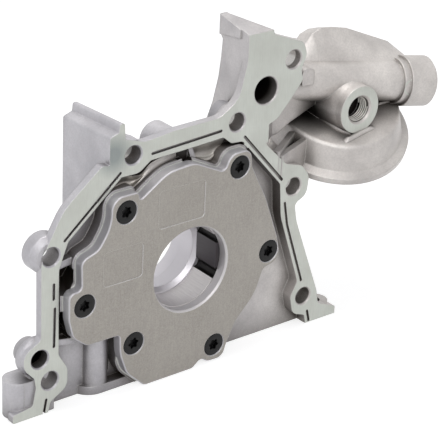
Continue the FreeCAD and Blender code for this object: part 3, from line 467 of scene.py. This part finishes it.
def rotor_steel():
    """Ground rotor steel; the crank bore is painted bright as painted light, its flats painted
    dark and its reliefs black as painted shade.
    """
    f = Finish("ground rotor steel", rgb(178, 178, 179), 0.6, 0.36)
    x, _, z = f.parts(f.place)
    strokes = f.noise(1400.0, 3.0, 0.6, f.mapped((1, 0.1, 1)))
    bore = f.less(f.distance((x, 0.0), (z, 0.0)), ROTOR_BORE_R * MM)
    far = f.math("ABSOLUTE", x)
    high = f.math("ABSOLUTE", z)
    flat = f.all_of(f.more(far, FLAT_X * MM), f.less(high, FLAT_HALF_HEIGHT * MM))
    relief = f.all_of(f.more(far, RELIEF_X * MM), f.more(high, FLAT_HALF_HEIGHT * MM),
                      f.less(high, RELIEF_TOP * MM))
    outer = f.mix(f.span(strokes, 0.3, 0.7), rgb(158, 157, 158), rgb(184, 183, 184))
    # Paler tone inside the crank bore: painted light
    inner = f.mix(f.span(strokes, 0.3, 0.7), rgb(206, 202, 202), rgb(222, 219, 218))
    # Painted shade on the flats, nearly black in the reliefs
    inner = f.mix(flat, inner, rgb(70, 66, 69))
    inner = f.mix(relief, inner, rgb(20, 18, 17))
    return f.set(Base_Color=f.mix(bore, outer, inner),
                 Roughness=f.span(strokes, 0.3, 0.7, 0.3, 0.42),
                 Normal=f.bump(strokes, 0.00003, 0.6, f.soft_edges(0.0003)))


def cut_thread():
    """Thread in the switch port, crests painted bright and roots painted dark: painted highlight
    and painted shade.
    """
    f = Finish("cut thread", rgb(220, 218, 212), 0.4, 0.3)
    x, _, z = f.parts(f.place)
    away = f.distance((x, SWITCH_CENTRE.x), (z, SWITCH_CENTRE.z))
    # Painted highlight on the crests, painted shade in the roots
    dark = f.span(away, THREAD_BRIGHT_R * MM, THREAD_DARK_R * MM)
    return f.set(Base_Color=f.mix(dark, rgb(234, 231, 224), rgb(48, 43, 38)))


# Finishes by the record's material slots, and those that only new pieces have
FINISHES = {
    "cast_aluminium": cast_aluminium(),
    "cover_plate": ground_plate(),
    "black_screw": black_oxide(),
    "sintered_steel": rotor_steel(),
    "turned_steel": steel("turned steel", 190, 0.28, 1600.0, (0.1, 1, 1)),
    "spring_steel": steel("drawn spring wire", 121, 0.32, 1800.0, (1, 1, 1)),
    "zinc_plated_steel": steel("zinc plate", 198, 0.24, 1200.0, (1, 0.2, 1)),
}
SMOOTH_CASTING = smooth_casting()
CUT_THREAD = cut_thread()
DRILLED_BORE = drilled_bore()


def finish_piece(bm, name, slot_name, finish=None, smooth_angle=35.0):
    """Turn a bmesh in millimetres into a piece with the finish of its slot or its own."""
    bmesh.ops.remove_doubles(bm, verts=bm.verts, dist=0.001)
    bmesh.ops.recalc_face_normals(bm, faces=bm.faces)
    bmesh.ops.scale(bm, vec=(MM, MM, MM), verts=bm.verts)
    mesh = bpy.data.meshes.new(name)
    bm.to_mesh(mesh)
    bm.free()
    mesh.shade_smooth()
    mesh.set_sharp_from_angle(angle=math.radians(smooth_angle))
    mesh.materials.append(finish or FINISHES[slot_name])
    piece = bpy.data.objects.new(name, mesh)
    bpy.context.scene.collection.objects.link(piece)
    return piece


def aim(bm, origin, axis):
    """Move what was drawn round +Z at the origin to a place and an axis."""
    turn = Vector((0, 0, 1)).rotation_difference(Vector(axis)).to_matrix().to_4x4()
    bmesh.ops.transform(bm, matrix=Matrix.Translation(Vector(origin)) @ turn, verts=bm.verts)


def edges_of(verts):
    return list({edge for vert in verts for edge in vert.link_edges})


def ring_loop(bm, radius, height, count, lobe=0.0):
    """Loop of edges round Z; a lobe depth gives it six lobes."""
    made = bmesh.ops.create_circle(bm, cap_ends=False, radius=radius, segments=count)
    for vert in made["verts"]:
        angle = math.atan2(vert.co.y, vert.co.x)
        size = radius + lobe * math.cos(6 * angle)
        vert.co = Vector((size * math.cos(angle), size * math.sin(angle), height))
    return edges_of(made["verts"])


def chain(bm, points, closed=False):
    """Edges from point to point, and back to the first one if closed."""
    verts = [bm.verts.new(point) for point in points]
    ends = verts[1:] + verts[:1] if closed else verts[1:]
    return [bm.edges.new(pair) for pair in zip(verts, ends)]


def skin(bm, loops):
    """Bridge each loop or chain of edges to the next."""
    for a, b in zip(loops[:-1], loops[1:]):
        bmesh.ops.bridge_loops(bm, edges=a + b)


def close_ends(bm, loops):
    bmesh.ops.holes_fill(bm, edges=loops[0], sides=0)
    bmesh.ops.holes_fill(bm, edges=loops[-1], sides=0)


def thread(bm, root_r, crest_r, start, end):
    """Helical ridge round Z from root to crest radius, on either side of a wall."""
    turns = (end - start) / THREAD_PITCH
    steps = int(turns * THREAD_STEPS)
    corners = [(crest_r if crest else root_r, 0, start + share * THREAD_PITCH)
               for crest, share in THREAD_RIDGE]
    ridge = bm.faces.new([bm.verts.new(corner) for corner in corners])
    rise = Vector((0, 0, (end - start - THREAD_PITCH) / steps))
    bmesh.ops.spin(bm, geom=[ridge], cent=(0, 0, 0), axis=(0, 0, 1), dvec=rise,
                   angle=2 * math.pi * turns, steps=steps, use_merge=False, use_duplicate=False)


def smooth_run(points, count):
    """Evenly counted points on a smooth curve through the given ones."""
    ends = [points[0] * 2 - points[1]] + points + [points[-1] * 2 - points[-2]]
    spans = len(points) - 1
    run = []
    for i in range(count):
        place = i * spans / (count - 1)
        k = min(int(place), spans - 1)
        t = place - k
        a, b, c, d = ends[k:k + 4]
        run.append(0.5 * (2 * b + (c - a) * t + (2 * a - 5 * b + 4 * c - d) * t * t
                          + (3 * b - a - 3 * c + d) * t ** 3))
    return run


def torx_screw(number, x, z):
    """Countersunk screw with a six-lobed socket and a chamfered tip."""
    bm = bmesh.new()
    loops = [ring_loop(bm, radius, depth, count=72, lobe=lobe)
             for radius, depth, lobe in SCREW_OUTLINE]
    skin(bm, loops)
    close_ends(bm, loops)
    turn = Matrix.Rotation(math.radians(SCREW_TURN * number), 4, "Z")
    bmesh.ops.transform(bm, matrix=turn, verts=bm.verts)
    aim(bm, (x, SCREW_FACE_Y, z), (0, 1, 0))
    piece = finish_piece(bm, "torx_screw_%d" % number, "black_screw")
    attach(piece, "housing")
    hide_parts("cover_screw_%d" % number)


def switch_thread():
    bm = bmesh.new()
    thread(bm, SWITCH_ROOT_R, SWITCH_CREST_R, start=0.9, end=8.4)
    aim(bm, SWITCH_CENTRE, (0, 1, 0))
    piece = finish_piece(bm, "switch_port_thread", "cast_aluminium", CUT_THREAD, smooth_angle=20.0)
    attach(piece, "housing")


def stud_thread():
    bm = bmesh.new()
    thread(bm, STUD_ROOT_R, STUD_CREST_R, start=-15.4, end=-1.0)
    aim(bm, HEAD_CENTRE, HEAD_AXIS)
    piece = finish_piece(bm, "filter_stud_thread", "zinc_plated_steel", smooth_angle=20.0)
    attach(piece, "housing")


def valve_coil(name, node, foot, axis, length, radius, wire, turns):
    """Compression spring from its foot on the housing to the sliding body."""
    bm = bmesh.new()
    steps = int(COIL_STEPS * turns)
    loops = []
    for step in range(steps + 1):
        made = bmesh.ops.create_circle(bm, cap_ends=step in (0, steps), radius=wire,
                                       segments=COIL_SIDES)
        height = wire + (length - 2 * wire) * step / steps
        round_axis = Matrix.Rotation(2 * math.pi * turns * step / steps, 4, "Z")
        upright = Matrix.Translation((radius, 0.0, height)) @ Matrix.Rotation(math.pi / 2, 4, "X")
        bmesh.ops.transform(bm, matrix=round_axis @ upright, verts=made["verts"])
        loops.append(edges_of(made["verts"]))
    skin(bm, loops)
    aim(bm, foot, axis)
    piece = finish_piece(bm, name, "spring_steel")
    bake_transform(piece)
    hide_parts(node)


def relief_coil():
    inwards = (CYLINDER_START - CYLINDER_END).normalized()
    valve_coil("relief_coil", "relief_spring",
               CYLINDER_END + inwards * RELIEF_FOOT, inwards, RELIEF_LENGTH,
               radius=4.2, wire=0.75, turns=7.0)


def bypass_coil():
    """Spring over the bypass disc; its foot is the end away from the disc."""
    low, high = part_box("bypass_disc")
    disc_centre = (Vector(low) + Vector(high)) / 2 / MM
    valve_coil("bypass_coil", "bypass_spring",
               disc_centre + HEAD_AXIS * BYPASS_FOOT, -HEAD_AXIS, BYPASS_LENGTH,
               radius=3.3, wire=0.5, turns=2.5)


def groove_lip():
    """Narrow strip of the flange between a sealant groove and the pocket."""
    bm = bmesh.new()
    bmesh.ops.create_cube(bm, size=1.0)
    along = LIP_END - LIP_START
    inward = Vector((along.z, 0.0, -along.x)).normalized()
    depth = Vector((0.0, (LIP_FRONT_Y + LIP_BACK_Y) / 2, 0.0))
    middle = (LIP_START + LIP_END) / 2 + depth + inward * (LIP_NEAR + LIP_FAR) / 2
    size = Matrix.Diagonal((along.length, LIP_BACK_Y - LIP_FRONT_Y, LIP_FAR - LIP_NEAR, 1.0))
    turn = Matrix.Rotation(-math.atan2(along.z, along.x), 4, "Y")
    bmesh.ops.transform(bm, matrix=Matrix.Translation(middle) @ turn @ size, verts=bm.verts)
    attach(finish_piece(bm, "groove_lip", "cast_aluminium"), "housing")


def boss_sleeve(number, x, z, start):
    """Far end of a bolt boss, open in the middle."""
    bm = bmesh.new()
    end = start + SLEEVE_LENGTH
    outline = [(SLEEVE_BORE_R, start), (SLEEVE_BORE_R, end), (SLEEVE_END_R, end),
               (SLEEVE_FOOT_R, start)]
    loops = [ring_loop(bm, radius, depth, count=48) for radius, depth in outline]
    skin(bm, loops + loops[:1])
    aim(bm, (x, 0.0, z), (0, 1, 0))
    piece = finish_piece(bm, "boss_sleeve_%d" % number, "cast_aluminium", DRILLED_BORE)
    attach(piece, "housing")


def cast_blend(name, rails, along=48, across=7):
    """Cast surface through rails of points, closed behind down to the pocket's floor."""
    bm = bmesh.new()
    lines = [smooth_run([Vector(point) for point in rail], along) for rail in rails]
    rows = []
    for section in zip(*lines):
        rows.append(chain(bm, smooth_run(list(section), (len(rails) - 1) * across + 1)))
    skin(bm, rows)
    made = bmesh.ops.extrude_face_region(bm, geom=bm.faces[:], use_keep_orig=True)
    for item in made["geom"]:
        if isinstance(item, bmesh.types.BMVert):
            item.co.y = POCKET_BACK_Y
    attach(finish_piece(bm, name, "cast_aluminium", SMOOTH_CASTING), "housing")


def bead(name, points, width, height):
    """Rounded ridge along a smooth line on the bowl's top, tapered at both ends."""
    bm = bmesh.new()
    run = smooth_run([Vector(point) for point in points], BEAD_STEPS)
    last = BEAD_STEPS - 1
    loops = []
    for i, place in enumerate(run):
        ahead = run[min(i + 1, last)] - run[max(i - 1, 0)]
        side = ahead.cross(HEAD_AXIS).normalized()
        taper = min(1.0, 0.25 + min(i, last - i) / 4.0)
        angles = [math.pi * k / BEAD_ARC for k in range(BEAD_ARC + 1)]
        loops.append(chain(bm, [place + side * (math.cos(angle) * width / 2)
                                + HEAD_AXIS * (math.sin(angle) * height * taper - BEAD_SINK)
                                for angle in angles], closed=True))
    skin(bm, loops)
    close_ends(bm, loops)
    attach(finish_piece(bm, name, "cast_aluminium"), "housing")


def add_camera():
    """Camera at the photograph's place; its long lens keeps the photograph's perspective."""
    data = bpy.data.cameras.new("camera")
    data.sensor_width = 36.0
    data.lens = 168.87
    data.clip_start = 0.05
    camera = bpy.data.objects.new("camera", data)
    bpy.context.scene.collection.objects.link(camera)
    right = Vector((0.7857, -0.6174, 0.0397))
    up = Vector((0.2365, 0.3591, 0.9029))
    back = Vector((-0.5716, -0.7000, 0.4281))
    place = Vector((-0.5164, -0.6564, 0.4191))
    turn = Matrix((right, up, back)).transposed().to_4x4()
    camera.matrix_world = Matrix.Translation(place) @ turn
    bpy.context.scene.camera = camera


def area_light(name, place, size, power, colour=(1, 1, 1)):
    """Round lamp turned to the middle of the pump."""
    data = bpy.data.lights.new(name, "AREA")
    data.shape = "DISK"
    data.size = size
    data.energy = power
    data.color = colour
    lamp = bpy.data.objects.new(name, data)
    bpy.context.scene.collection.objects.link(lamp)
    lamp.location = place
    target = Vector((0.02, 0.0, 0.02))
    lamp.rotation_euler = (target - Vector(place)).to_track_quat("-Z", "Y").to_euler()


def white_rays(tree):
    """1 for the rays that show the white background: camera, glossy and transmission rays."""
    path = tree.nodes.new("ShaderNodeLightPath")
    total = path.outputs["Is Camera Ray"]
    for kind in ("Is Glossy Ray", "Is Transmission Ray"):
        either = tree.nodes.new("ShaderNodeMath")
        either.operation = "MAXIMUM"
        tree.links.new(total, either.inputs[0])
        tree.links.new(path.outputs[kind], either.inputs[1])
        total = either.outputs[0]
    return total


def add_world():
    """Light from above, darker from below, behind a white background."""
    world = bpy.data.worlds.new("studio")
    bpy.context.scene.world = world
    world.use_nodes = True
    tree = world.node_tree
    light = tree.nodes["Background"]
    light.inputs["Strength"].default_value = 0.75
    place = tree.nodes.new("ShaderNodeTexCoord")
    parts = tree.nodes.new("ShaderNodeSeparateXYZ")
    ramp = tree.nodes.new("ShaderNodeValToRGB")
    low, high = ramp.color_ramp.elements
    low.position = 0.0
    low.color = (0.16, 0.155, 0.15, 1)
    high.position = 0.9
    high.color = (0.62, 0.63, 0.65, 1)
    white = tree.nodes.new("ShaderNodeBackground")
    white.inputs["Color"].default_value = (1, 1, 1, 1)
    mix = tree.nodes.new("ShaderNodeMixShader")
    tree.links.new(place.outputs["Generated"], parts.inputs[0])
    tree.links.new(parts.outputs["Z"], ramp.inputs[0])
    tree.links.new(ramp.outputs[0], light.inputs["Color"])
    tree.links.new(white_rays(tree), mix.inputs[0])
    tree.links.new(light.outputs[0], mix.inputs[1])
    tree.links.new(white.outputs[0], mix.inputs[2])
    tree.links.new(mix.outputs[0], tree.nodes["World Output"].inputs["Surface"])


def add_floor():
    """Pale floor just under the sump face; a glow makes it white and leaves its shadow."""
    bm = bmesh.new()
    bmesh.ops.create_grid(bm, x_segments=1, y_segments=1, size=6.0)
    bmesh.ops.translate(bm, vec=(0, 0, (SUMP_Z - 0.2) * MM), verts=bm.verts)
    mesh = bpy.data.meshes.new("floor")
    bm.to_mesh(mesh)
    bm.free()
    floor = bpy.data.objects.new("floor", mesh)
    bpy.context.scene.collection.objects.link(floor)
    material = bpy.data.materials.new("white floor")
    material.use_nodes = True
    tree = material.node_tree
    shader = tree.nodes["Principled BSDF"]
    shader.inputs["Base Color"].default_value = (0.5, 0.5, 0.5, 1)
    shader.inputs["Roughness"].default_value = 0.9
    glow = tree.nodes.new("ShaderNodeEmission")
    glow.inputs["Color"].default_value = (0.72, 0.72, 0.72, 1)
    both = tree.nodes.new("ShaderNodeAddShader")
    tree.links.new(white_rays(tree), glow.inputs["Strength"])
    tree.links.new(shader.outputs[0], both.inputs[0])
    tree.links.new(glow.outputs[0], both.inputs[1])
    tree.links.new(both.outputs[0], tree.nodes["Material Output"].inputs["Surface"])
    mesh.materials.append(material)


def dress_nodes():
    """Give every CAD node the finish of its record slot."""
    for row in frame["record"]["subparts"]:
        mesh = frame["nodes"][row["node"]].data
        finish = FINISHES[row["material_slot"]]
        if not mesh.materials:
            mesh.materials.append(finish)
        for index in range(len(mesh.materials)):
            mesh.materials[index] = finish


bpy.context.scene.view_settings.view_transform = "Standard"
add_camera()
add_world()
area_light("top light", (0.05, 0.12, 0.85), size=0.45, power=2.7, colour=(1.0, 0.985, 0.96))
area_light("left light", (-0.85, 0.10, 0.30), size=0.8, power=1.2, colour=(0.94, 0.96, 1.0))
area_light("front light", (-0.40, -0.80, 0.75), size=0.9, power=4.7)
add_floor()
dress_nodes()
for number, (x, z) in enumerate(SCREW_CENTRES, 1):
    torx_screw(number, x, z)
switch_thread()
stud_thread()
relief_coil()
bypass_coil()
groove_lip()
for number, (x, z, start) in enumerate(SLEEVES, 1):
    boss_sleeve(number, x, z, start)
cast_blend("channel_blend", [CHANNEL_EDGE, CHANNEL_SCOOP, CHANNEL_CREST, CHANNEL_SLOPE,
                             CHANNEL_FLOOR, CHANNEL_FOOT])
cast_blend("recess_blend", [RECESS_TOP, RECESS_DEEP, RECESS_MIDDLE, RECESS_LOW, RECESS_FOOT])
bead("bowl_front_bead", FRONT_BEAD, width=3.2, height=2.0)
bead("bowl_hollow_bead", HOLLOW_BEAD, width=2.2, height=1.8)
bead("bowl_rim_bead", RIM_BEAD, width=2.4, height=1.6)
